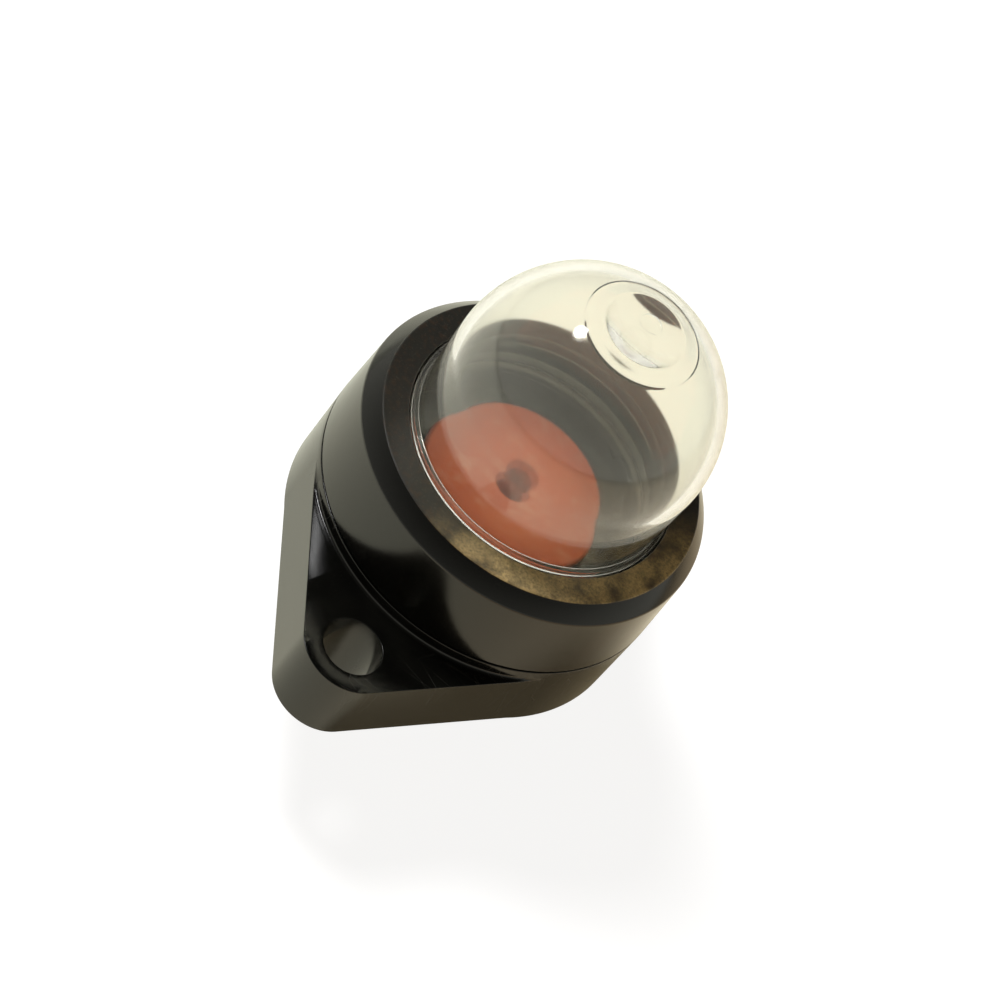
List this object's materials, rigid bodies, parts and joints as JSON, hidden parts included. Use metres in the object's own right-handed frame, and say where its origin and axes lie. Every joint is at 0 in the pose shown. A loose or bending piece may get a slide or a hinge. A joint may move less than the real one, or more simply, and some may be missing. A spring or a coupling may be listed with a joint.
{
  "type": "primer bulb",
  "caption": "Clear push bulb on a black screw-on base, with an orange valve inside and hose nipples below, that draws fuel up before a small engine starts.",
  "frame": {"origin": "middle of the mounting face, the flat underside of the flange, on the bulb's axis", "axes": "+Z along the bulb's axis, away from the mounting face; +Y along the line of the screw holes; the fuel nipples stand on the X axis, the inlet on the +X side"},
  "size_m": [0.0292, 0.046, 0.0409],
  "materials": {
    "base_plastic": "semi-gloss moulded, near black",
    "cap_plastic": "semi-gloss wall, fine matt grain on the flat top, near black",
    "clear_plastic": "clear, slightly yellow, polished",
    "valve_rubber": "orange-red, dull"
  },
  "bodies": {
    "root": {"base": "base_plastic", "cap": "cap_plastic", "bulb": "clear_plastic", "valve": "valve_rubber"}
  },
  "joints": []
}
